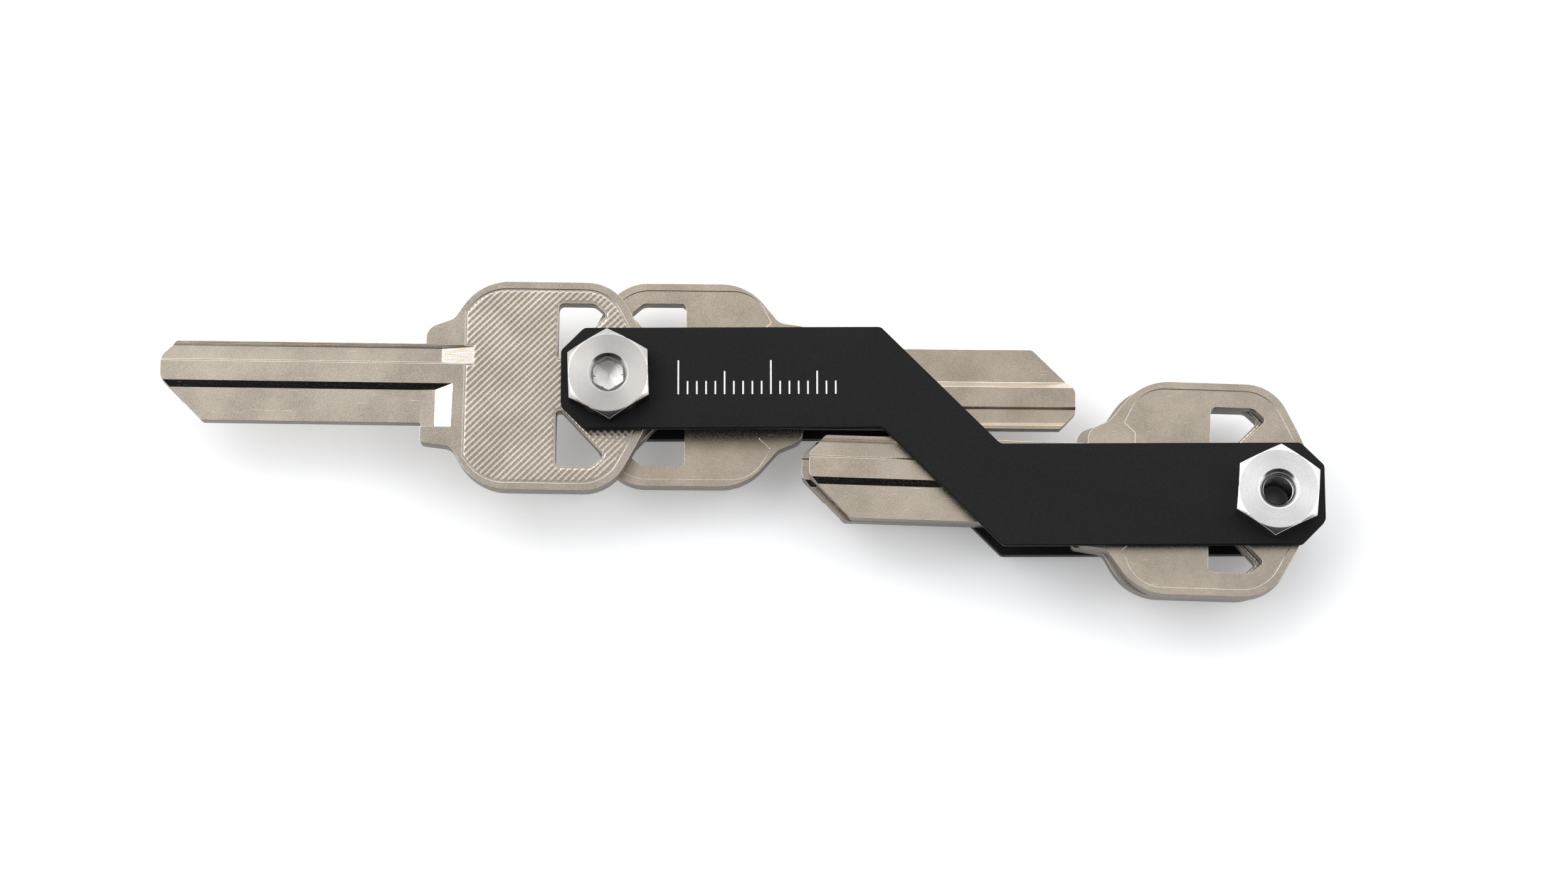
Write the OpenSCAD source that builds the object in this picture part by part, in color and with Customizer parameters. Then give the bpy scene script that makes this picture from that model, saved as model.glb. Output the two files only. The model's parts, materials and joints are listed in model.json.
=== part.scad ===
// Key organiser: two Z-shaped plates clamped by two hex-headed barrel-and-screw posts,
// with four uncut key blanks that swing out from between the plates.
// Millimetres. The origin is on the left post's axis, on the plane of the rear heads,
// which is the plane that the organiser lies on. +X runs along the plates and +Z is up.

/* [Plates] */
// Distance along X between the two posts
post_spacing = 71.8; // [70:0.1:80]
// Distance along Y that the right arm steps down from the left arm
arm_step = 12.95; // [12.8:0.05:14]
// Width of each arm
arm_width = 11.04; // [10.8:0.01:12]
// Length of each arm past its post
end_overhang = 5.2; // [5:0.1:7]
// Distance along X from a post to the outer corner of the bend
bend_outer = 29.4; // [28:0.1:31]
// Distance along X from a post to the inner corner of the far bend
bend_inner = 42.2; // [41:0.1:43]
// Thickness of each plate
plate_thick = 1.3; // [1:0.1:2]
// Leg of the front plate's cut corners at the ends of the arms
front_chamfer = 2.5; // [1.5:0.1:3]
// Leg of the back plate's cut corners at the ends of the arms
back_chamfer = 3.5; // [2:0.1:4]
// Rounding of the plate's corners, seen from above
plate_corner_r = 0.8; // [0.3:0.1:1]

/* [Engraved scale] */
// Number of one-millimetre divisions
scale_divisions = 17; // [5:1:20]
// Distance from the left post to the first mark
scale_start = 7.5; // [6:0.5:9]
// Width of each engraved line
scale_line = 0.2; // [0.15:0.05:0.3]
// Depth of each engraved line
scale_depth = 0.1; // [0.05:0.05:0.2]
// Length of the mark at every tenth division
scale_mark_long = 3.8; // [3:0.1:5]
// Length of the mark at every fifth division
scale_mark_middle = 2.6; // [2:0.1:3]
// Length of the other marks
scale_mark_short = 1.5; // [1:0.1:2]

/* [Posts] */
// Size of the hex heads across their flats
head_af = 8.65; // [8:0.05:9]
// Height of the hex heads
head_high = 2.5; // [2:0.1:4]
// Radius of the flat top of a head, inside the corner chamfer
head_face_r = 4.25; // [3.9:0.05:4.3]
// Outside diameter of the barrel that the keys turn on
barrel_d = 5.5; // [5.2:0.1:5.6]
// Diameter of the barrel's tapped hole at its open end, inside the thread
bore_d = 3.4; // [3.2:0.1:3.6]
// Diameter of the screw's shank, over its thread
shank_d = 4; // [3.8:0.1:4.1]
// Size of the screw's hex socket across its flats
socket_af = 3.2; // [2.5:0.1:3.2]
// Depth of the screw's hex socket
socket_deep = 1.5; // [1.2:0.1:1.6]
// Depth of the dished floor of the socket, below the socket's sides
dish_deep = 0.25; // [0.1:0.05:0.3]
// Outer diameter of the countersink round each hole in a head
countersink_d = 4.3; // [4.2:0.1:5]

/* [Keys] */
// Thickness of a key blank
key_thick = 2.2; // [2:0.1:2.5]
// Distance from the middle of the bow's ring to its flat upper edge
bow_half = 11.7; // [11.5:0.1:12]
// Distance from the middle of the bow's ring to the nose of the blade
nose_reach = 48.8; // [46:0.1:50]
// Radial clearance between a key's hole and the barrel
key_clearance = 0.06; // [0.02:0.01:0.1]
// Depth of the recessed panel on each face of the bow
panel_deep = 0.14; // [0.1:0.01:0.2]
// Width of the raised rim round the panel
panel_rim = 0.8; // [0.6:0.1:1]
// Depth of the narrow groove in the blade
groove_shallow = 0.45; // [0.3:0.05:0.5]
// Depth of the wide groove in the blade
groove_deep = 0.65; // [0.5:0.05:0.8]

/* [Washers] */
// Space that each washer keeps between two layers
washer_space = 0.2; // [0.15:0.05:0.3]
// Outside diameter of each washer
washer_d = 9; // [8:0.5:10]

/* [Hidden] */
$fn = 64;

// Colours
anodised_black = "#242424";
steel_satin = "#c9c5bf";
steel_bright = "#dedcd8";
nickel = "#b4aa9b";
washer_grey = "#9a9a98";

// Heights of the stack, from the rear heads up
z_back_plate = head_high;
z_rear_washer = z_back_plate + plate_thick;
z_rear_key = z_rear_washer + washer_space;
z_middle_washer = z_rear_key + key_thick;
z_front_key = z_middle_washer + washer_space;
z_front_washer = z_front_key + key_thick;
z_front_plate = z_front_washer + washer_space;
z_front_head = z_front_plate + plate_thick;
z_top = z_front_head + head_high;

// Fits
hole_clearance = 0.1;
thread_clearance = 0.05;
face_play = 0.01;
barrel_end_gap = 0.3;
open_bore_long = 6.5;
thread_overlap = 0.2;
cut = 0.5;
overshoot = 0.05;

// Heads: the corner chamfer falls 30 degrees from the flat face
head_chamfer_angle = 30;
left_head_turn = 32;
right_head_turn = 25;

// How far the centre of each key's bow lies from its post, towards the bow's open end and up
left_front_offset = [0, -0.5];
left_rear_offset = [-1.3, -0.15];
right_front_offset = [-1.5, 0.5];
right_rear_offset = [-1.4, 0.7];
// The direction in which each key lies at rest, as a turn from pointing along -X
left_front_turn = -1;
left_rear_turn = 179.3;
right_front_turn = -2.1;
right_rear_turn = -2;

// What differs between the kinds of blank, in this order. All are coordinates of the outline,
// measured from the middle of the bow's ring.
SHOULDER_UP = 0;
SHOULDER_LOW = 1;
NOSE = 2;
NECK = 3;
NECK_RUN = 4;
BOW_UP = 5;
BOW_LOW = 6;
BOW_CORNER = 7;
WINDOW_LEFT = 8;
WINDOW_TIP = 9;
BLADE_UP = 10;
knurled_blank = [-20, -20.4, -nose_reach, -17, 2.7, bow_half - 0.3, -bow_half, 0.3, -5.7, -0.4, 4.35];
knurled_long_blank =
    [-20, -20.4, -nose_reach - 0.9, -17, 2.7, bow_half - 0.3, -bow_half, 0.3, -5.7, -0.4, 4.35];
plain_blank = [-18.8, -19.5, -nose_reach, -16.5, 3.5, bow_half, -bow_half, 1.1, -5.6, 0.4, 4.6];
plain_long_blank =
    [-19.7, -19.8, -nose_reach - 0.5, -17, 3.5, bow_half - 0.4, 0.4 - bow_half, 0.3, -6.85, -0.75, 4.6];

arc_steps = 10;
arm_half = arm_width / 2;
blade_low = -4.35;
window_high = 9.05;
window_bridge = 2.9;

function unit(v) = v / norm(v);
function turned(from, to) = let(d = to - from) d > 180 ? d - 360 : d < -180 ? d + 360 : d;
function angle_of(v) = atan2(v[1], v[0]);

// The arc of radius r that rounds the corner b between a and c
function corner_arc(a, b, c, r) =
    let(u = unit(a - b), v = unit(c - b), half = acos(u * v) / 2)
    let(centre = b + unit(u + v) * r / sin(half))
    let(start = angle_of(b + u * r / tan(half) - centre))
    let(sweep = turned(start, angle_of(b + v * r / tan(half) - centre)))
    [for (i = [0 : arc_steps])
        let(angle = start + sweep * i / arc_steps)
        centre + r * [cos(angle), sin(angle)]];

// An outline from corners given as [x, y, rounding radius]
function rounded(corners) =
    let(n = len(corners), at = [for (c = corners) [c[0], c[1]]])
    [for (i = [0 : n - 1])
        each corners[i][2] == 0 ? [at[i]]
            : corner_arc(at[(i + n - 1) % n], at[i], at[(i + 1) % n], corners[i][2])];

// Half of a plate's outline, from the left end round to the bend, with the ends' corners cut by
// the given leg. The other half is the same, turned half a turn about the plate's centre.
function plate_half(leg) = [
    [-end_overhang, -arm_half + leg, plate_corner_r],
    [-end_overhang, arm_half - leg, plate_corner_r],
    [-end_overhang + leg, arm_half, plate_corner_r],
    [bend_outer, arm_half, plate_corner_r],
    [bend_inner, arm_half - arm_step, plate_corner_r],
    [post_spacing + end_overhang - leg, arm_half - arm_step, plate_corner_r],
];
function plate_outline(leg) = rounded([
    each plate_half(leg),
    for (c = plate_half(leg)) [post_spacing - c[0], -arm_step - c[1], c[2]],
]);

module plate(z, leg) {
    difference() {
        translate([0, 0, z])
            linear_extrude(plate_thick)
                polygon(plate_outline(leg));
        at_posts()
            translate([0, 0, z - cut])
                cylinder(h = plate_thick + 2 * cut, r = barrel_d / 2 + hole_clearance);
    }
}

module at_left_post() {
    children();
}

module at_right_post() {
    translate([post_spacing, -arm_step, 0])
        children();
}

module at_posts() {
    at_left_post()
        children();
    at_right_post()
        children();
}

// A plain scale of engraved marks, centred on the left arm
module scale_marks() {
    for (i = [0 : scale_divisions]) {
        long = i % 10 == 0 ? scale_mark_long : i % 5 == 0 ? scale_mark_middle : scale_mark_short;
        translate([scale_start + i, -scale_mark_long / 2, z_front_head - scale_depth])
            translate([-scale_line / 2, 0, 0])
                cube([scale_line, long, scale_depth + cut]);
    }
}

module front_plate() {
    color(anodised_black)
        difference() {
            plate(z_front_plate, front_chamfer);
            scale_marks();
        }
}

module back_plate() {
    color(anodised_black)
        plate(z_back_plate, back_chamfer);
}

// A hex head on the XY plane, its outer face up, with the chamfered corners of a turned head
module hex_head(turn) {
    corner_r = head_af / 2 / cos(30);
    chamfer_fall = (corner_r + overshoot - head_face_r) * tan(head_chamfer_angle);
    intersection() {
        rotate([0, 0, turn])
            cylinder(h = head_high, r = corner_r, $fn = 6);
        union() {
            cylinder(h = head_high - chamfer_fall, r = corner_r + overshoot);
            translate([0, 0, head_high - chamfer_fall])
                cylinder(h = chamfer_fall, r1 = corner_r + overshoot, r2 = head_face_r);
        }
    }
}

// The 45 degree countersink round a hole in the head's outer face
module countersink(hole_r) {
    deep = countersink_d / 2 - hole_r;
    translate([0, 0, head_high - deep])
        cylinder(h = deep, r1 = hole_r, r2 = countersink_d / 2);
    translate([0, 0, head_high])
        cylinder(h = cut, r = countersink_d / 2);
}

// The barrel: a hex head with a tube below it, tapped right through. Its head is at the top.
// The open stretch of the hole has the thread's inner size, and the stretch that the screw fills
// has its outer size.
module barrel(turn) {
    tube_long = z_front_head - z_back_plate - barrel_end_gap;
    difference() {
        union() {
            hex_head(turn);
            translate([0, 0, -tube_long])
                cylinder(h = tube_long, r = barrel_d / 2);
        }
        translate([0, 0, head_high - open_bore_long])
            cylinder(h = open_bore_long + cut, r = bore_d / 2);
        translate([0, 0, -tube_long - cut])
            cylinder(h = tube_long + cut + head_high - open_bore_long, r = shank_d / 2 + thread_clearance);
        countersink(bore_d / 2);
    }
}

// A shallow spherical dish, cut into the surface at z = 0 out to radius r
module dish(r) {
    sphere_r = (r ^ 2 + dish_deep ^ 2) / (2 * dish_deep);
    intersection() {
        translate([0, 0, sphere_r - dish_deep])
            sphere(sphere_r);
        translate([0, 0, -dish_deep - cut])
            cylinder(h = dish_deep + 2 * cut, r = r);
    }
}

// The screw: a hex head with a hex socket, and a shank that reaches into the barrel
module screw(turn) {
    shank_long = z_top - 2 * head_high - open_bore_long + head_high - thread_overlap;
    difference() {
        union() {
            hex_head(turn);
            translate([0, 0, -shank_long])
                cylinder(h = shank_long, r = shank_d / 2);
        }
        translate([0, 0, head_high - socket_deep]) {
            rotate([0, 0, turn])
                cylinder(h = socket_deep + cut, r = socket_af / 2 / cos(30), $fn = 6);
            dish(socket_af / 2);
        }
        countersink(socket_af / 2);
    }
}

// Stands a fastener in the front plate, head up
module from_front() {
    translate([0, 0, z_front_head])
        children();
}

// Stands a fastener in the back plate, head down
module from_back() {
    translate([0, 0, head_high])
        rotate([180, 0, 0])
            children();
}

module left_screw() {
    color(steel_satin)
        at_left_post() from_front() screw(left_head_turn);
}

module left_barrel() {
    color(steel_satin)
        at_left_post() from_back() barrel(left_head_turn);
}

module right_barrel() {
    color(steel_bright)
        at_right_post() from_front() barrel(right_head_turn);
}

module right_screw() {
    color(steel_bright)
        at_right_post() from_back() screw(right_head_turn);
}

module washer(z) {
    color(washer_grey)
        translate([0, 0, z + face_play])
            difference() {
                cylinder(h = washer_space - 2 * face_play, r = washer_d / 2);
                translate([0, 0, -cut])
                    cylinder(h = washer_space + 2 * cut, r = barrel_d / 2 + hole_clearance);
            }
}

module left_washer_front() {
    at_left_post() washer(z_front_washer);
}

module left_washer_middle() {
    at_left_post() washer(z_middle_washer);
}

module left_washer_rear() {
    at_left_post() washer(z_rear_washer);
}

module right_washer_front() {
    at_right_post() washer(z_front_washer);
}

module right_washer_middle() {
    at_right_post() washer(z_middle_washer);
}

module right_washer_rear() {
    at_right_post() washer(z_rear_washer);
}

// The blank's outline. The origin is the middle of the bow's ring, the blade points along -X,
// and the corners run clockwise from the blade's upper edge.
function blank_outline(k) = rounded([
    [k[SHOULDER_UP], k[BLADE_UP], 0.1],
    [k[SHOULDER_UP], 6.05, 1.5],
    [k[NECK], 7.2, 1.4],
    [k[NECK] + k[NECK_RUN], k[BOW_UP], 6],
    [k[BOW_CORNER], k[BOW_UP], 5],
    [k[BOW_CORNER] + 6.3, 0, 14],
    [k[BOW_CORNER], k[BOW_LOW], 5],
    [k[NECK] + k[NECK_RUN], k[BOW_LOW], 6],
    [k[NECK], -7, 1.5],
    [k[SHOULDER_LOW], -6.6, 0.5],
    [k[SHOULDER_LOW], blade_low, 0.15],
    [k[NOSE] + 4.7, blade_low, 0.6],
    [k[NOSE], 0.25, 1],
    [k[NOSE], 2.75, 1],
    [k[NOSE] + 1.75, k[BLADE_UP], 0.3],
]);

// The upper of the bow's two windows. Its slanted edge is tangent to the ring round the hole.
function window_outline(k) = rounded([
    [k[WINDOW_LEFT], window_bridge, 0.3],
    [k[WINDOW_LEFT], window_high, 0.6],
    [k[WINDOW_TIP] - 1.4, window_high, 1.2],
    [k[WINDOW_TIP], 7.8, 0.4],
    [k[WINDOW_TIP] - 4.7, window_bridge, 0.3],
]);

// The right-hand end of both panels follows the bow, a rim's width inside it
function panel_end(k) = [
    [k[BOW_CORNER] - 0.5, k[BOW_UP] - panel_rim, 4.4],
    [k[BOW_CORNER] + 5.3, 0, 12],
    [k[BOW_CORNER] - 0.5, k[BOW_LOW] + panel_rim, 4.4],
];

// The recessed panel of the plain bow steps in and out again beside the neck
function plain_panel(k) =
    let(near = k[WINDOW_LEFT] - 8.1, far = near - 1.2)
    rounded([
        [near, 5.95, 0.3],
        [far, 7, 0.2],
        [far + 1.8, k[BOW_UP] - panel_rim, 4],
        each panel_end(k),
        [far + 1.8, k[BOW_LOW] + panel_rim, 4],
        [far, -7, 0.2],
        [near, -5.95, 0.3],
    ]);

// The recessed panel that carries the knurling
function knurled_panel(k) =
    let(far = k[NECK] + 1.2)
    rounded([
        [far, 8, 0.3],
        [far + 2.1, k[BOW_UP] - panel_rim, 5],
        each panel_end(k),
        [far + 2.1, k[BOW_LOW] + panel_rim, 5],
        [far, -8, 0.3],
    ]);

// A groove that runs along the blade and ramps out of the surface at z = 0. The profile is made of
// [y, z] points across the blade. The run-out is made of [x, z] points along the groove's floor,
// from full depth to the surface.
module groove(profile, runout) {
    far = -nose_reach - 4;
    end = runout[len(runout) - 1];
    climb = end - runout[len(runout) - 2];
    intersection() {
        translate([far, 0, 0])
            rotate([90, 0, 90])
                linear_extrude(-far)
                    polygon(profile);
        translate([0, bow_half, 0])
            rotate([90, 0, 0])
                linear_extrude(2 * bow_half)
                    polygon([
                        [far, runout[0][1]],
                        each runout,
                        end + climb * cut / climb[1],
                        [far, cut],
                    ]);
    }
}

// The keyway grooves of one face: a narrow one above the central ridge and a wide one below it,
// whose run-out bends up as the cutter leaves the blank
module face_grooves() {
    groove([[1.94, cut], [2.35, -groove_shallow], [3.9, -groove_shallow], [4.5, cut]],
        [[-18.3, -groove_shallow], [-13.5, 0]]);
    groove([[0.47, cut], [-0.7, -groove_deep], [-4.78, -groove_deep], [-4.86, cut]],
        [[-20.6, -groove_deep], [-18.9, -0.9 * groove_deep], [-17.1, 0]]);
}

// The recess in one face of the bow, clear of the ring round the hole
module face_panel(panel) {
    translate([0, 0, -panel_deep])
        linear_extrude(panel_deep + cut)
            polygon(panel);
}

// A key with its hole on the Z axis and its lower face on the XY plane, pointing along -X.
// offset is where the middle of the bow's ring lies from the hole.
module key(blank, panel, offset) {
    color(nickel)
        difference() {
            translate([offset[0], offset[1], key_thick / 2])
                difference() {
                    translate([0, 0, -key_thick / 2])
                        linear_extrude(key_thick)
                            difference() {
                                polygon(blank_outline(blank));
                                polygon(window_outline(blank));
                                mirror([0, 1])
                                    polygon(window_outline(blank));
                            }
                    for (face = [0, 180])
                        rotate([face, 0, 0])
                            translate([0, 0, key_thick / 2]) {
                                face_grooves();
                                face_panel(panel);
                            }
                }
            translate([0, 0, -cut])
                cylinder(h = key_thick + 2 * cut, r = barrel_d / 2 + key_clearance);
        }
}

module left_front_key() {
    at_left_post()
        translate([0, 0, z_front_key])
            rotate([0, 0, left_front_turn])
                key(knurled_blank, knurled_panel(knurled_blank), left_front_offset);
}

module left_rear_key() {
    at_left_post()
        translate([0, 0, z_rear_key])
            rotate([0, 0, left_rear_turn])
                key(plain_long_blank, plain_panel(plain_long_blank), left_rear_offset);
}

module right_front_key() {
    at_right_post()
        translate([0, 0, z_front_key])
            rotate([0, 0, right_front_turn])
                key(plain_blank, plain_panel(plain_blank), right_front_offset);
}

module right_rear_key() {
    at_right_post()
        translate([0, 0, z_rear_key])
            rotate([0, 0, right_rear_turn])
                key(knurled_long_blank, knurled_panel(knurled_long_blank), right_rear_offset);
}

front_plate();
back_plate();
left_screw();
left_barrel();
right_barrel();
right_screw();
left_washer_front();
left_washer_middle();
left_washer_rear();
right_washer_front();
right_washer_middle();
right_washer_rear();
left_front_key();
left_rear_key();
right_front_key();
right_rear_key();
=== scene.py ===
import json
import math

import bpy
import numpy as np
from mathutils import Euler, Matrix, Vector
from mathutils.bvhtree import BVHTree
from mathutils.kdtree import KDTree


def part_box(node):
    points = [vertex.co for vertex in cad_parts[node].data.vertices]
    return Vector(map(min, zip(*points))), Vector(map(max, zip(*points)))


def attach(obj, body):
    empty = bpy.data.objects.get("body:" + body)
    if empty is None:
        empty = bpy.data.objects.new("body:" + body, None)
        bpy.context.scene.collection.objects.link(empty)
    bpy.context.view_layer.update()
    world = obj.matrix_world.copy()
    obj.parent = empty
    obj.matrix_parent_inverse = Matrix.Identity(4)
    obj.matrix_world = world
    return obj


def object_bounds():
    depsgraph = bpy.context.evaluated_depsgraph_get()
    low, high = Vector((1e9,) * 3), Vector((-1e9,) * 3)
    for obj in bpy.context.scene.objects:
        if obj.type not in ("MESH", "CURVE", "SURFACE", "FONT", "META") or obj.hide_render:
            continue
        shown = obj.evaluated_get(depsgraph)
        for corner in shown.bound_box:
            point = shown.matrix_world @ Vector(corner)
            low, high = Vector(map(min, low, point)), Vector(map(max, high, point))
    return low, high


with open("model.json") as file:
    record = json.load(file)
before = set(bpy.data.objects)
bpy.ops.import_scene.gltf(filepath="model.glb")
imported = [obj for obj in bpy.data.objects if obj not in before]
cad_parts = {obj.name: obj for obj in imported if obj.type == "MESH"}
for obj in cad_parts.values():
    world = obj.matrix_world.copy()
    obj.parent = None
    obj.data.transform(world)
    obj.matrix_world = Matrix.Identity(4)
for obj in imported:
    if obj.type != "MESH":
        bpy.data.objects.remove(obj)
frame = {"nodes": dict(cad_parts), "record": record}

CAD_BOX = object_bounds()
MM = 0.001
NODES = frame["nodes"]
KEYS = ["left_front_key", "left_rear_key", "right_front_key", "right_rear_key"]
KNURLED_KEYS = ["left_front_key", "right_rear_key"]
PLATES = ["front_plate", "back_plate"]
WASHERS = [name for name in NODES if "washer" in name]
THREADS = {mount["name"]: mount for mount in frame["record"]["mounts"] if mount["kind"] == "threaded_hole"}


def centre_of(node):
    low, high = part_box(node)
    return (low + high) / 2


def shaded(tint, share):
    """A colour made darker or lighter"""
    return [share * c for c in tint]


def add_node(tree, kind, settings=None, inputs=None):
    """Adds a node. inputs holds each input's value, or the socket that feeds it."""
    node = tree.nodes.new(kind)
    for key, value in (settings or {}).items():
        setattr(node, key, value)
    for key, value in (inputs or {}).items():
        if isinstance(value, bpy.types.NodeSocket):
            tree.links.new(value, node.inputs[key])
        else:
            node.inputs[key].default_value = value
    return node


LEFT_POST = centre_of("left_washer_front")
RIGHT_POST = centre_of("right_washer_front")
MIDDLE = (LEFT_POST + RIGHT_POST) / 2


# ---------------------------------------------------------------- node materials

# The colour sockets' places on a Mix node
MIX_FACTOR, MIX_FIRST, MIX_SECOND = 0, 6, 7
MIX_RESULT = 2
# How sharply a scratch ends
SCRATCH_EDGE = 0.04


class Shader:
    """A procedural material, built up one node at a time. Texture sizes are given in metres. The
    other numbers in the recipes below are shares of a noise's height, a tint or full roughness."""

    def __init__(self, name, constants):
        self.material = bpy.data.materials.new(name)
        self.material.use_nodes = True
        self.tree = self.material.node_tree
        self.surface = self.tree.nodes["Principled BSDF"]
        for socket, value in constants.items():
            self.surface.inputs[socket].default_value = value
        self.place = self.add("ShaderNodeTexCoord").outputs["Object"]

    def add(self, kind, settings=None, inputs=None):
        return add_node(self.tree, kind, settings, inputs)

    def connect(self, value, socket):
        self.tree.links.new(value, self.surface.inputs[socket])

    def mapped(self, location=(0, 0, 0), turn=0.0, stretch=(1, 1, 1)):
        """The object's coordinates, turned about Z and then stretched"""
        inputs = {"Vector": self.place, "Location": location}
        inputs["Rotation"] = (0, 0, turn)
        inputs["Scale"] = stretch
        return self.add("ShaderNodeMapping", {"vector_type": "POINT"}, inputs).outputs["Vector"]

    def noise(self, size, detail=2.0, rough=0.5, vector=None):
        inputs = {"Vector": vector or self.place, "Scale": 1 / size}
        inputs["Detail"] = detail
        inputs["Roughness"] = rough
        return self.add("ShaderNodeTexNoise", None, inputs).outputs["Fac"]

    def ranged(self, value, low, high, to_low=0.0, to_high=1.0):
        inputs = {"Value": value, "From Min": low, "From Max": high}
        inputs["To Min"] = to_low
        inputs["To Max"] = to_high
        node = self.add("ShaderNodeMapRange", {"interpolation_type": "SMOOTHSTEP"}, inputs)
        return node.outputs["Result"]

    def maths(self, operation, first, second=0.0, third=0.0):
        inputs = {0: first, 1: second, 2: third}
        return self.add("ShaderNodeMath", {"operation": operation}, inputs).outputs[0]

    def mixed(self, factor, first, second):
        """Two colours mixed: the first where the factor is 0 and the second where it is 1"""
        colours = [c if isinstance(c, bpy.types.NodeSocket) else (*c, 1.0) for c in (first, second)]
        inputs = {MIX_FACTOR: factor, MIX_FIRST: colours[0], MIX_SECOND: colours[1]}
        return self.add("ShaderNodeMix", {"data_type": "RGBA"}, inputs).outputs[MIX_RESULT]

    def bump(self, height, depth, below=None):
        """A relief of the given depth in metres"""
        inputs = {"Height": height, "Distance": depth}
        if below is not None:
            inputs["Normal"] = below
        return self.add("ShaderNodeBump", None, inputs).outputs["Normal"]

    def scratches(self, turn, size, length, threshold):
        """Thin scratches in one direction: 1 on a scratch and 0 off it"""
        vector = self.mapped(turn=turn, stretch=(size / length, 1, 1))
        return self.ranged(self.noise(size, 1.0, 0.5, vector), threshold, threshold + SCRATCH_EDGE)

    def levelness(self):
        """How level the surface is: 1 on a level face and 0 on a wall"""
        true_normal = self.add("ShaderNodeNewGeometry").outputs["True Normal"]
        rise = self.add("ShaderNodeSeparateXYZ", None, {"Vector": true_normal}).outputs["Z"]
        return self.maths("ABSOLUTE", rise)


def nickel(name, tint, polish_and_highlight):
    """Satin nickel plate with a fine grain. The last argument is how much smoother the sloping, milled
    faces are than the level ones, and it also paints them brighter as a painted highlight. The walls are
    rougher, and painted darker as painted shade."""
    shader = Shader(name, {"Metallic": 1.0})
    cloud = shader.noise(5 * MM, 4.0, 0.6)
    grain = shader.noise(0.12 * MM, 3.0, 0.7)
    speck = shader.noise(0.3 * MM, 2.0, 0.5)
    scratch = shader.scratches(0.15, 0.06 * MM, 3 * MM, 0.77)
    colour = shader.mixed(shader.ranged(cloud, 0.3, 0.7), shaded(tint, 0.84), shaded(tint, 1.12))
    colour = shader.mixed(shader.ranged(grain, 0.35, 0.65, 0.0, 0.45), colour, shaded(tint, 0.75))
    colour = shader.mixed(shader.ranged(speck, 0.66, 0.76, 0.0, 0.2), colour, shaded(tint, 0.6))
    level = shader.levelness()
    milled = shader.ranged(level, 0.9975, 0.9995, 1.0, 0.0)
    wall = shader.ranged(level, 0.3, 0.6, 1.0, 0.0)
    streak = shader.noise(0.12 * MM, 2.0, 0.5, shader.mapped(stretch=(0.04, 1, 1)))
    # Painted highlight: the sloping, milled faces get a brighter, streaked colour for the light they
    # reflect
    painted_highlight = shader.mixed(shader.ranged(streak, 0.35, 0.65), shaded(tint, 1.25), (0.92, 0.91, 0.9))
    colour = shader.mixed(shader.maths("MULTIPLY", milled, 7 * polish_and_highlight), colour, painted_highlight)
    # Painted shade: the walls are painted almost black
    colour = shader.mixed(shader.maths("MULTIPLY", wall, 0.8), colour, shaded(tint, 0.12))
    shader.connect(colour, "Base Color")
    rough = shader.ranged(grain, 0.35, 0.65, 0.2, 0.3)
    rough = shader.maths("MULTIPLY_ADD", milled, -polish_and_highlight, rough)
    rough = shader.maths("MULTIPLY_ADD", wall, 0.3, rough)
    shader.connect(shader.maths("MULTIPLY_ADD", scratch, -0.05, rough), "Roughness")
    relief = shader.maths("MULTIPLY_ADD", scratch, -0.3, grain)
    shader.connect(shader.bump(relief, 0.007 * MM), "Normal")
    return shader.material


def anodised(name):
    """Matte black anodised aluminium with a bead-blasted grain"""
    shader = Shader(name, {"Metallic": 0.0, "Specular IOR Level": 0.12})
    cloud = shader.noise(11 * MM, 3.0, 0.6)
    grain = shader.noise(0.11 * MM, 2.0, 0.6)
    scuff = shader.scratches(0.5, 0.06 * MM, 2 * MM, 0.77)
    colour = shader.mixed(cloud, (0.0056, 0.0056, 0.0057), (0.0082, 0.0082, 0.0083))
    colour = shader.mixed(shader.ranged(grain, 0.35, 0.7, 0.0, 0.8), colour, (0.0165, 0.0165, 0.0167))
    colour = shader.mixed(shader.maths("MULTIPLY", scuff, 0.3), colour, (0.03, 0.03, 0.031))
    shader.connect(colour, "Base Color")
    shader.connect(shader.ranged(grain, 0.3, 0.7, 0.44, 0.56), "Roughness")
    shader.connect(shader.bump(grain, 0.018 * MM), "Normal")
    return shader.material


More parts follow.
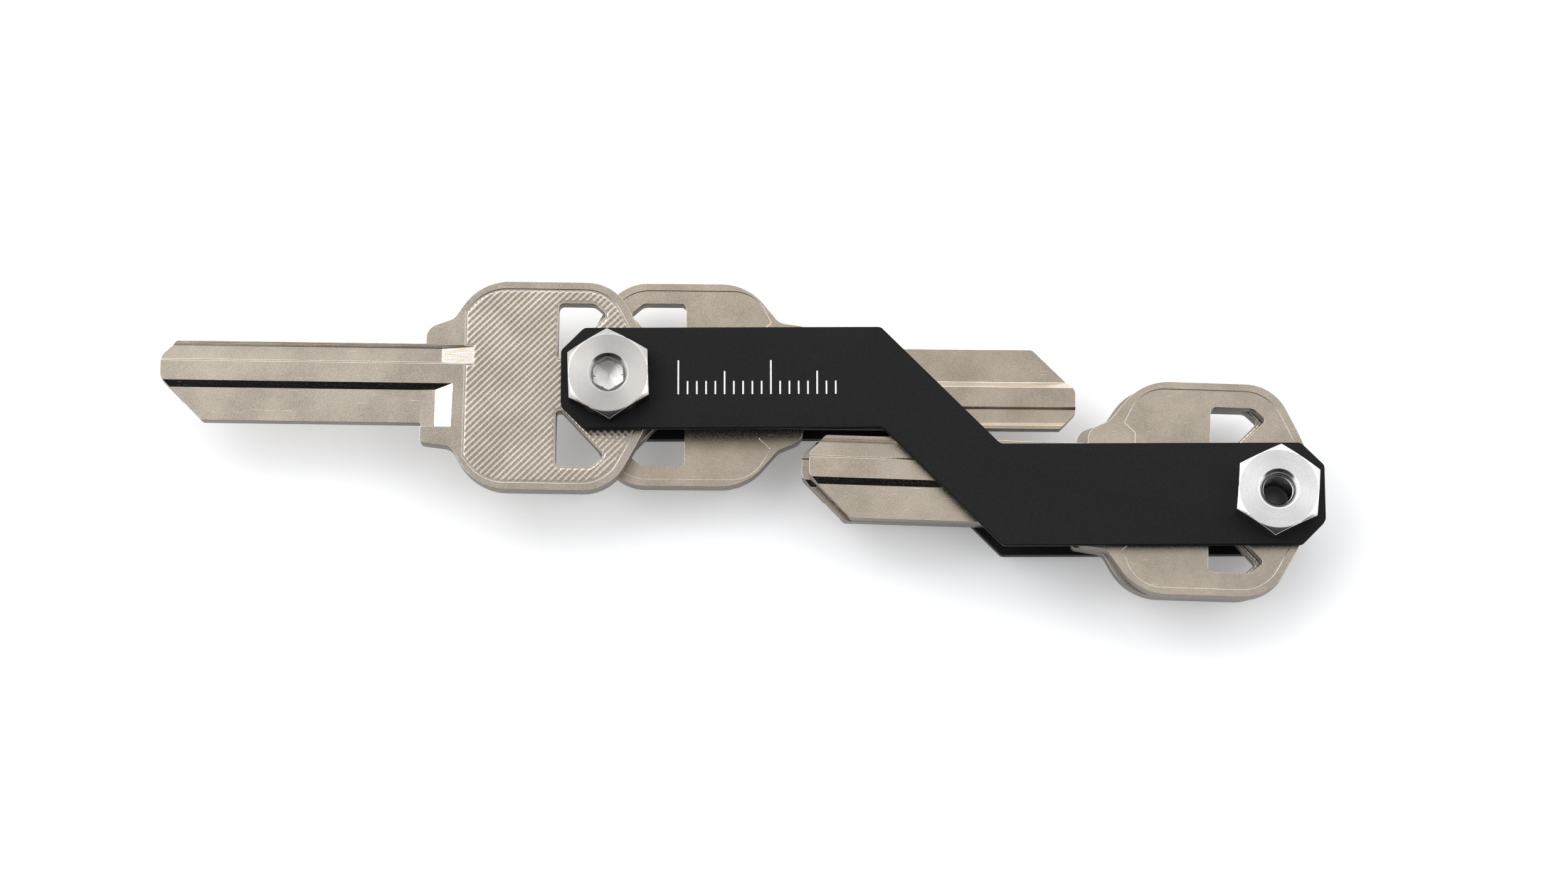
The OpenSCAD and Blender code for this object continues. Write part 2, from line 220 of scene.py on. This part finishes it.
def turned_steel(name, post, tint, rings, rough, across, bore):
    """Steel turned on a lathe, with rings round the post's axis. It is rougher across the rings
    than along them, smoother on its chamfers and painted dark inside a bore of the given radius, as
    painted shade."""
    shader = Shader(name, {"Metallic": 1.0, "Anisotropic": across})
    vector = shader.mapped(location=(-post.x, -post.y, 0), stretch=(1, 1, 0))
    outward = shader.add("ShaderNodeVectorMath", {"operation": "NORMALIZE"}, {0: vector})
    shader.connect(outward.outputs["Vector"], "Tangent")
    radius = shader.add("ShaderNodeVectorMath", {"operation": "LENGTH"}, {0: vector})
    radius = radius.outputs["Value"]
    along = shader.add("ShaderNodeCombineXYZ", None, {"X": radius}).outputs["Vector"]
    ring = shader.noise(0.1 * MM, 3.0, 0.6, along)
    wide_ring = shader.noise(0.6 * MM, 2.0, 0.5, along)
    grain = shader.noise(0.14 * MM, 2.0, 0.6)
    cloud = shader.noise(3 * MM, 2.0, 0.5)
    dark = shaded(tint, 0.84)
    colour = shader.mixed(shader.ranged(cloud, 0.3, 0.7), dark, tint)
    colour = shader.mixed(shader.ranged(wide_ring, 0.45, 0.75, 0.0, 0.5 * rings), colour, dark)
    patches = shader.ranged(cloud, 0.3, 0.6, 0.15, 0.6)
    mottle = shader.maths("MULTIPLY", shader.ranged(grain, 0.35, 0.7), patches)
    colour = shader.mixed(mottle, colour, shaded(tint, 0.72))
    # Painted shade: inside the bore the steel is painted almost black
    inside = shader.ranged(radius, bore - 0.02 * MM, bore + 0.1 * MM, 0.85, 0.0)
    colour = shader.mixed(inside, colour, shaded(tint, 0.12))
    shader.connect(colour, "Base Color")
    chamfer = shader.ranged(shader.levelness(), 0.9, 0.98, 0.5 * rough, 0.0)
    rough = shader.ranged(ring, 0.3, 0.7, rough - 0.04, rough + 0.04)
    shader.connect(shader.maths("SUBTRACT", rough, chamfer), "Roughness")
    relief = shader.bump(ring, 0.008 * rings * MM)
    shader.connect(shader.bump(grain, 0.003 * MM, relief), "Normal")
    return shader.material


def plain_steel(name):
    """Rolled washer steel: streaks along one direction"""
    shader = Shader(name, {"Metallic": 1.0})
    streak = shader.noise(0.1 * MM, 2.0, 0.5, shader.mapped(stretch=(0.05, 1, 1)))
    shader.connect(shader.mixed(streak, (0.42, 0.42, 0.41), (0.62, 0.62, 0.6)), "Base Color")
    shader.connect(shader.ranged(streak, 0.3, 0.7, 0.3, 0.42), "Roughness")
    shader.connect(shader.bump(streak, 0.006 * MM), "Normal")
    return shader.material


def white_paint(name):
    """The white filling of the engraving, slightly uneven"""
    shader = Shader(name, {"Specular IOR Level": 0.3})
    patch = shader.noise(0.35 * MM, 3.0, 0.6)
    shader.connect(shader.mixed(patch, (0.72, 0.72, 0.71), (0.95, 0.95, 0.95)), "Base Color")
    shader.connect(shader.ranged(patch, 0.3, 0.7, 0.5, 0.65), "Roughness")
    shader.connect(shader.bump(patch, 0.02 * MM), "Normal")
    return shader.material


def floor_paper(name):
    """White seamless paper, which glows slightly so that the shadows stay light"""
    shader = Shader(name, {"Specular IOR Level": 0.1})
    fibre = shader.noise(1.5 * MM, 3.0, 0.6)
    shader.connect(shader.mixed(fibre, (0.86, 0.865, 0.875), (0.88, 0.885, 0.895)), "Base Color")
    shader.surface.inputs["Roughness"].default_value = 0.8
    shader.surface.inputs["Emission Color"].default_value = (1.0, 1.0, 1.0, 1.0)
    shader.surface.inputs["Emission Strength"].default_value = 0.2
    return shader.material


def paint(names, material):
    for name in names:
        slots = NODES[name].material_slots
        if not slots:
            NODES[name].data.materials.append(material)
        for slot in slots:
            slot.link = "OBJECT"
            slot.material = material


# ---------------------------------------------------------------- edges of the CAD nodes

# A face whose normal rises less than this is a wall
LEVEL = 0.9
# Points nearer than this are merged, and faces that meet at less than this are joined
WELD = 0.05 * MM
FLAT_ANGLE = math.radians(0.6)
# How wide the rounded edges are, and how sharp an edge is before it is rounded, in degrees
KEY_EDGE = 0.04 * MM
PLATE_EDGE = 0.08 * MM
HEAD_EDGE = 0.05 * MM
WASHER_EDGE = 0.03 * MM
EDGE_ANGLE = 28
HEAD_ANGLE = 18
# Level faces of a key that meet at more than this, in degrees, are shaded apart
KEY_CREASE = 3
# How far below a screw's face edges are rounded, and below the front plate's they stay sharp
HEAD_DEEP = 0.6 * MM
SCALE_DEEP = 0.01 * MM


def edge_weights(name, angle, crease, lowest, highest):
    """A node group that marks the sharp edges between two heights for the Bevel modifier. Where
    two almost level faces meet at more than the crease angle, it keeps their shading apart."""
    group = bpy.data.node_groups.new(name, "GeometryNodeTree")
    group.interface.new_socket("Mesh", in_out="INPUT", socket_type="NodeSocketGeometry")
    group.interface.new_socket("Mesh", in_out="OUTPUT", socket_type="NodeSocketGeometry")

    def add(kind, settings=None, inputs=None):
        return add_node(group, kind, settings, inputs)

    def maths(operation, first, second=0.0):
        return add("ShaderNodeMath", {"operation": operation}, {0: first, 1: second}).outputs[0]

    start = add("NodeGroupInput")
    fold = add("GeometryNodeInputMeshEdgeAngle").outputs["Unsigned Angle"]
    normal = add("GeometryNodeInputNormal").outputs[0]
    rise = add("ShaderNodeSeparateXYZ", None, {0: normal}).outputs["Z"]
    steep = maths("LESS_THAN", maths("ABSOLUTE", rise), LEVEL)
    gentle = maths("LESS_THAN", fold, math.radians(crease))
    settings = {"domain": "FACE"}
    rounded = add("GeometryNodeSetShadeSmooth", settings, {"Geometry": start.outputs[0]})
    settings = {"domain": "EDGE"}
    inputs = {"Geometry": rounded.outputs[0], "Shade Smooth": maths("MAXIMUM", steep, gentle)}
    rounded = add("GeometryNodeSetShadeSmooth", settings, inputs)
    sharp = maths("GREATER_THAN", fold, math.radians(angle))
    place = add("GeometryNodeInputPosition").outputs[0]
    height = add("ShaderNodeSeparateXYZ", None, {0: place}).outputs["Z"]
    above = maths("GREATER_THAN", height, lowest)
    below = maths("LESS_THAN", height, highest)
    weight = maths("MULTIPLY", sharp, maths("MULTIPLY", above, below))
    settings = {"data_type": "FLOAT", "domain": "EDGE"}
    inputs = {"Geometry": rounded.outputs[0], "Name": "bevel_weight_edge", "Value": weight}
    store = add("GeometryNodeStoreNamedAttribute", settings, inputs)
    end = add("NodeGroupOutput")
    group.links.new(store.outputs[0], end.inputs[0])
    return group


def soften(name, width, angle=EDGE_ANGLE, crease=180, lowest=-1.0, highest=1.0):
    """Rounds a node's sharp edges, so that they catch the light"""
    node = NODES[name]
    weld = node.modifiers.new("weld", "WELD")
    weld.merge_threshold = WELD
    flatten = node.modifiers.new("flatten", "DECIMATE")
    flatten.decimate_type = "DISSOLVE"
    flatten.angle_limit = FLAT_ANGLE
    chosen = node.modifiers.new("chosen", "NODES")
    chosen.node_group = edge_weights(f"{name}_edges", angle, crease, lowest, highest)
    bevel = node.modifiers.new("edges", "BEVEL")
    bevel.width = width
    bevel.segments = 2
    bevel.limit_method = "WEIGHT"
    bevel.use_clamp_overlap = False
    bevel.loop_slide = False
    bevel.miter_outer = "MITER_SHARP"
    normals = node.modifiers.new("normals", "WEIGHTED_NORMAL")
    normals.keep_sharp = True
    normals.weight = 100


# ---------------------------------------------------------------- knurling

KNURL_PITCH = 0.53 * MM
KNURL_ANGLE = math.radians(44)
# Points across one ridge, and half the height of a crest
KNURL_STEPS = 6
KNURL_HIGH = 0.017 * MM
# The patch sinks below its panel over this distance from the outline, and stops short of it
KNURL_FADE = 0.35 * MM
KNURL_SUNK = 0.03 * MM
KNURL_MARGIN = 0.08 * MM
# How close together the points along an outline are, and how near two points count as one
EDGE_STEP = 0.1 * MM
SAME_POINT = 0.001 * MM
# Faces whose heights differ by less than this lie on one level
LEVEL_STEP = 0.01 * MM
LEVEL_FACE = 0.999


def mesh_object(name, points, faces, material, smooth=True):
    mesh = bpy.data.meshes.new(name)
    mesh.from_pydata([tuple(p) for p in points], [], [tuple(f) for f in faces])
    mesh.update()
    mesh.polygons.foreach_set("use_smooth", [smooth] * len(mesh.polygons))
    mesh.materials.append(material)
    piece = bpy.data.objects.new(name, mesh)
    bpy.context.scene.collection.objects.link(piece)
    return piece


def flat_faces(mesh, up):
    """A node's level faces that look up (or down): one list of indices for each height, outermost
    first"""
    found = {}
    for face in mesh.polygons:
        if face.normal.z * up > LEVEL_FACE:
            found.setdefault(round(face.center.z / LEVEL_STEP), []).append(face.index)
    return [found[level] for level in sorted(found, key=lambda level: -level * up)]


def outline_points(mesh, faces):
    """Points along the outline of a set of faces, close together"""
    shared = {}
    for index in faces:
        for edge in mesh.polygons[index].edge_keys:
            ends = [tuple(round(c / SAME_POINT) for c in mesh.vertices[v].co) for v in edge]
            shared.setdefault(tuple(sorted(ends)), []).append(edge)
    points = []
    for edges in shared.values():
        if len(edges) == 1:
            start, end = (mesh.vertices[v].co for v in edges[0])
            count = max(1, math.ceil((end - start).length / EDGE_STEP))
            points += [start.lerp(end, i / count) for i in range(count + 1)]
    return points


def smoothstep(value, low, high):
    t = np.clip((value - low) / (high - low), 0, 1)
    return t * t * (3 - 2 * t)


def ridges(distance):
    """The profile of parallel ridges, from 0 in the grooves to 1 on the crests"""
    return 0.5 + 0.5 * np.sin(2 * math.pi * distance / KNURL_PITCH)


def knurl(key, up, material):
    """A patch of diamond knurling that fills the recessed panel in one face of a bow. The panel
    is the second level that a ray from outside meets, after the face itself."""
    mesh = NODES[key].data
    panel = flat_faces(mesh, up)[1]
    level = mesh.polygons[panel[0]].center.z
    outline = outline_points(mesh, panel)
    tree = BVHTree.FromPolygons(
        [v.co for v in mesh.vertices],
        [p.vertices for p in mesh.polygons if p.index in set(panel)],
    )
    near = KDTree(len(outline))
    for index, point in enumerate(outline):
        near.insert(point, index)
    near.balance()

    corners = np.array([[p.x, p.y] for p in outline])
    turn = np.array([[math.cos(KNURL_ANGLE), -math.sin(KNURL_ANGLE)],
                     [math.sin(KNURL_ANGLE), math.cos(KNURL_ANGLE)]])
    turned = corners @ turn
    step = KNURL_PITCH / KNURL_STEPS
    along, across = [
        np.arange(low - step, high + step, step)
        for low, high in zip(turned.min(0), turned.max(0))
    ]
    grid = np.stack(np.meshgrid(along, across, indexing="ij"), -1)
    flat = grid.reshape(-1, 2) @ turn.T

    start = level + up * MM
    away = np.zeros(len(flat))
    for i, (x, y) in enumerate(flat):
        if tree.ray_cast(Vector((x, y, start)), Vector((0, 0, -up)))[0] is not None:
            away[i] = near.find(Vector((x, y, level)))[2]

    fade = smoothstep(away, 0, KNURL_FADE)
    first, second = grid.reshape(-1, 2).T
    high = KNURL_HIGH * (ridges(first) + ridges(second))
    height = level + up * (high * fade - KNURL_SUNK * (1 - fade))
    points = np.column_stack([flat, height])

    rows, columns = len(along), len(across)
    number = np.arange(rows * columns).reshape(rows, columns)
    quads = np.stack([number[:-1, :-1], number[1:, :-1], number[1:, 1:], number[:-1, 1:]], -1)
    quads = quads.reshape(-1, 4)
    quads = quads[(away[quads] > KNURL_MARGIN).all(1)]
    if up < 0:
        quads = quads[:, ::-1]
    used = np.unique(quads)
    renumber = np.zeros(len(points), int)
    renumber[used] = np.arange(len(used))
    side = "front" if up > 0 else "back"
    return mesh_object(f"{key}_knurl_{side}", points[used], renumber[quads], material)


# ---------------------------------------------------------------- engraved scale

# How far the filling stays below the plate's surface, and how much its edges are rounded
FILL_BELOW = 0.02 * MM
FILL_ROUNDING = 0.01 * MM
# Decimals of a metre at which two corners count as one
CORNER_DIGITS = 7


def islands(mesh, faces):
    """Groups of faces that touch, as lists of their corner points"""
    groups = []
    for index in faces:
        corners = [mesh.vertices[v].co for v in mesh.polygons[index].vertices]
        points = {tuple(round(c, CORNER_DIGITS) for c in corner) for corner in corners}
        touching = [g for g in groups if g & points]
        groups = [g for g in groups if not g & points]
        groups.append(points.union(*touching))
    return groups


def scale_filling(material):
    """White bars that fill the engraved marks almost to the plate's surface. The marks' floors are
    the plate's second level, below its face."""
    mesh = NODES["front_plate"].data
    floors = flat_faces(mesh, 1)[1]
    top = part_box("front_plate")[1].z - FILL_BELOW
    points, faces = [], []
    for group in islands(mesh, floors):
        corners = np.array(sorted(group))
        (x0, y0, z0), (x1, y1, _) = corners.min(0), corners.max(0)
        n = len(points)
        for inset, height in ((0, z0), (0, top - FILL_ROUNDING), (2 * FILL_ROUNDING, top)):
            points += [(x0 + inset, y0 + inset, height), (x1 - inset, y0 + inset, height)]
            points += [(x1 - inset, y1 - inset, height), (x0 + inset, y1 - inset, height)]
        faces.append((n + 3, n + 2, n + 1, n))
        for ring in (0, 4):
            for i in range(4):
                a, b = n + ring + i, n + ring + (i + 1) % 4
                faces.append((a, b, b + 4, a + 4))
        faces.append((n + 8, n + 9, n + 10, n + 11))
    return mesh_object("scale_filling", points, faces, material, smooth=False)


# ---------------------------------------------------------------- threads

THREAD_PITCH = 0.7 * MM
THREAD_DEEP = 0.22 * MM
# Points in one turn of the thread
THREAD_STEPS = 40
THREAD_RUNOUT = 0.3 * MM
# Turns over which the ridge grows at each end
THREAD_FADE = 0.5
# How far the foot of the ridge goes into the wall of the bore
THREAD_SUNK = 0.03 * MM
# Half the widths of the ridge at its foot and at its crest, as shares of the pitch, and the share
# of those that is left at its ends
THREAD_FOOT = 0.44
THREAD_CREST = 0.06
THREAD_THINNEST = 0.02
COUNTERSINK_DEEP = 0.5 * MM


def thread(name, centre, bore, start, end, material):
    """The helical ridge of an internal thread, against the wall of a bore"""
    turns = abs(end - start) / THREAD_PITCH - 1
    sign = 1 if end > start else -1
    count = int(turns * THREAD_STEPS)
    wall = bore + THREAD_SUNK
    crest = bore - THREAD_DEEP
    profile = [(wall, -THREAD_FOOT), (crest, -THREAD_CREST), (crest, THREAD_CREST), (wall, THREAD_FOOT)]
    points = []
    for i in range(count + 1):
        angle = 2 * math.pi * i / THREAD_STEPS
        rise = THREAD_PITCH * i / THREAD_STEPS + THREAD_PITCH / 2
        taper = min(1, i / THREAD_STEPS / THREAD_FADE, (count - i) / THREAD_STEPS / THREAD_FADE)
        for radius, offset in profile:
            r = wall + (radius - wall) * taper
            height = start + sign * (rise + offset * THREAD_PITCH * max(taper, THREAD_THINNEST))
            points.append((centre.x + r * math.cos(angle), centre.y + r * math.sin(angle), height))
    faces = []
    for i in range(count):
        for j in range(4):
            a, b = 4 * i + j, 4 * i + (j + 1) % 4
            quad = (a, b, b + 4, a + 4)
            faces.append(quad if sign > 0 else quad[::-1])
    faces.append((0, 3, 2, 1) if sign > 0 else (0, 1, 2, 3))
    last = 4 * count
    cap = (last, last + 1, last + 2, last + 3)
    faces.append(cap if sign > 0 else cap[::-1])
    return mesh_object(name, points, faces, material)


def tapping(name, barrel, up, material):
    """The thread in the open end of a barrel, from under its countersink to its last full turn"""
    dims = THREADS[name]["dims"]
    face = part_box(barrel)[1 if up > 0 else 0].z
    start = face - up * COUNTERSINK_DEEP
    end = start - up * (dims["length_mm"] * MM - THREAD_RUNOUT)
    return thread(name, centre_of(barrel), dims["r_mm"] * MM, start, end, material)


# ---------------------------------------------------------------- put together

NICKEL = nickel("satin_nickel", (0.585, 0.515, 0.43), 0.1)
# The knurl patches are a slightly darker copy of the keys' nickel: painted shade in the recessed panels
KNURLED_NICKEL = nickel("knurled_nickel", (0.565, 0.5, 0.42), 0.0)
WARM_NICKEL = nickel("warm_nickel", (0.63, 0.535, 0.43), 0.1)
PALE_NICKEL = nickel("pale_nickel", (0.7, 0.605, 0.495), 0.1)
BLACK = anodised("black_anodised")
BORE = THREADS["right_front_thread"]["dims"]["r_mm"] * MM
SATIN = (0.64, 0.615, 0.588)
BRIGHT = (0.93, 0.922, 0.91)
LEFT_STEEL = turned_steel("satin_steel", LEFT_POST, SATIN, 0.5, 0.34, 0.85, 0)
LEFT_BORED_STEEL = turned_steel("satin_bored_steel", LEFT_POST, SATIN, 0.5, 0.34, 0.85, BORE)
RIGHT_STEEL = turned_steel("bright_steel", RIGHT_POST, BRIGHT, 1.0, 0.34, 0.6, BORE)
# The thread ridges inside the bores are darker copies of the head steels: painted shade
LEFT_THREAD = turned_steel("satin_thread", LEFT_POST, shaded(SATIN, 0.5), 0.5, 0.3, 0.3, 0)
RIGHT_THREAD = turned_steel("bright_thread", RIGHT_POST, shaded(BRIGHT, 0.45), 0.5, 0.3, 0.3, 0)
WASHER_STEEL = plain_steel("washer_steel")
WHITE = white_paint("engraving_white")

paint(KNURLED_KEYS, NICKEL)
paint(["left_rear_key"], WARM_NICKEL)
paint(["right_front_key"], PALE_NICKEL)
paint(PLATES, BLACK)
paint(["left_screw"], LEFT_STEEL)
paint(["left_barrel"], LEFT_BORED_STEEL)
paint(["right_screw", "right_barrel"], RIGHT_STEEL)
paint(WASHERS, WASHER_STEEL)

for name in KEYS:
    soften(name, KEY_EDGE, crease=KEY_CREASE)
# The engraved marks stay sharp, because their white filling covers their edges
soften("front_plate", PLATE_EDGE, highest=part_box("front_plate")[1].z - SCALE_DEEP)
soften("back_plate", PLATE_EDGE)
# The edges inside the hexagon sockets are too close together to be rounded
soften("left_screw", HEAD_EDGE, HEAD_ANGLE, lowest=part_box("left_screw")[1].z - HEAD_DEEP)
soften("right_screw", HEAD_EDGE, HEAD_ANGLE, highest=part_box("right_screw")[0].z + HEAD_DEEP)
for name in ("left_barrel", "right_barrel"):
    soften(name, HEAD_EDGE, HEAD_ANGLE)
for name in WASHERS:
    soften(name, WASHER_EDGE)

for name in KNURLED_KEYS:
    for up in (1, -1):
        patch = knurl(name, up, KNURLED_NICKEL)
        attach(patch, name)

threads = [
    tapping("right_front_thread", "right_barrel", 1, RIGHT_THREAD),
    tapping("left_rear_thread", "left_barrel", -1, LEFT_THREAD),
]
for ridge, slot in zip(threads, ("bright_steel", "satin_steel")):
    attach(ridge, "root")

filling = scale_filling(WHITE)
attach(filling, "root")


# ---------------------------------------------------------------- floor, light and camera

FLOOR_HALF = 1.5
# The studio's brightness, from low in front to high at the back, and the shares of each axis in it
SKY_STOPS = [(0.0, 0.02), (0.25, 0.08), (0.5, 0.7), (0.75, 1.05), (1.0, 1.15)]
SKY_TINT = (0.985, 0.995, 1.01)
SKY_BACK, SKY_UP, SKY_ASIDE = 0.8, 0.9, 0.7
# Straight above it is dimmer, and in front it is nearly dark
DIM_ABOVE = {"From Min": 0.78, "From Max": 0.94, "To Min": 1.0, "To Max": 0.43}
DARK_IN_FRONT = {"From Min": -0.62, "From Max": -0.32, "To Min": 0.07, "To Max": 1.0}
LIGHT_DISTANCE = 3.0
CAMERA_PLACE = Vector((21.777, -112.039, 505.695)) * MM
CAMERA_TURN = (11.957, 0.357, -0.1165)
CAMERA_LENS = 108
CAMERA_SENSOR = 36
CAMERA_CLIP = (0.01, 10)


def floor():
    """A sheet of white paper that the organiser lies on"""
    low = CAD_BOX[0].z
    corners = [(x * FLOOR_HALF, y * FLOOR_HALF, low) for x, y in ((-1, -1), (1, -1), (1, 1), (-1, 1))]
    sheet = mesh_object("floor", corners, [(0, 1, 2, 3)], floor_paper("floor_paper"), smooth=False)


def soft_light(name, azimuth, elevation, size, power):
    """A white softbox that looks at the middle of the organiser. Azimuth 0 is +Y, 90 is -X."""
    turn, rise = math.radians(azimuth), math.radians(elevation)
    away = Vector((-math.sin(turn) * math.cos(rise), math.cos(turn) * math.cos(rise), math.sin(rise)))
    light = bpy.data.lights.new(name, "AREA")
    light.shape = "RECTANGLE"
    light.size, light.size_y = size
    light.energy = power
    lamp = bpy.data.objects.new(name, light)
    lamp.location = MIDDLE + away * LIGHT_DISTANCE
    lamp.rotation_euler = (-away).to_track_quat("-Z", "Y").to_euler()
    bpy.context.scene.collection.objects.link(lamp)


def surroundings():
    """A soft studio: bright at the back and at the sides, dim in front and straight above"""
    world = bpy.data.worlds.new("studio")
    bpy.context.scene.world = world
    world.use_nodes = True
    tree = world.node_tree
    background = tree.nodes["Background"]
    place = add_node(tree, "ShaderNodeTexCoord").outputs["Generated"]
    axes = add_node(tree, "ShaderNodeSeparateXYZ", None, {0: place}).outputs
    aside = add_node(tree, "ShaderNodeMath", {"operation": "ABSOLUTE"}, {0: axes["X"]}).outputs[0]
    total = 0.0
    for value, share in ((axes["Y"], SKY_BACK), (axes["Z"], SKY_UP), (aside, SKY_ASIDE)):
        inputs = {0: value, 1: share, 2: total}
        total = add_node(tree, "ShaderNodeMath", {"operation": "MULTIPLY_ADD"}, inputs).outputs[0]
    inputs = {"Value": total, "From Min": -1.0, "From Max": 1.0}
    reach = add_node(tree, "ShaderNodeMapRange", None, inputs).outputs["Result"]
    ramp = add_node(tree, "ShaderNodeValToRGB", None, {"Fac": reach})
    stops = ramp.color_ramp.elements
    stops[0].position = SKY_STOPS[0][0]
    stops[1].position = SKY_STOPS[-1][0]
    for position, _ in SKY_STOPS[1:-1]:
        stops.new(position)
    for stop, (_, level) in zip(stops, SKY_STOPS):
        stop.color = (*shaded(SKY_TINT, level), 1)
    tree.links.new(ramp.outputs["Color"], background.inputs["Color"])
    masks = []
    for axis, limits in (("Z", DIM_ABOVE), ("Y", DARK_IN_FRONT)):
        inputs = {"Value": axes[axis], **limits}
        mask = add_node(tree, "ShaderNodeMapRange", {"interpolation_type": "SMOOTHSTEP"}, inputs)
        masks.append(mask.outputs["Result"])
    inputs = {0: masks[0], 1: masks[1]}
    strength = add_node(tree, "ShaderNodeMath", {"operation": "MULTIPLY"}, inputs)
    tree.links.new(strength.outputs[0], background.inputs["Strength"])


def camera():
    data = bpy.data.cameras.new("camera")
    data.sensor_width = CAMERA_SENSOR
    data.lens = CAMERA_LENS
    data.clip_start, data.clip_end = CAMERA_CLIP
    seen = bpy.data.objects.new("camera", data)
    seen.location = CAMERA_PLACE
    seen.rotation_euler = Euler([math.radians(a) for a in CAMERA_TURN])
    bpy.context.scene.collection.objects.link(seen)
    bpy.context.scene.camera = seen


floor()
surroundings()
soft_light("window", azimuth=10, elevation=52, size=(4.6, 1.8), power=26)
soft_light("left", azimuth=70, elevation=51.5, size=(3.0, 2.1), power=30)
soft_light("right", azimuth=-80, elevation=48, size=(2.4, 1.8), power=14)
camera()
bpy.context.scene.view_settings.view_transform = "Standard"
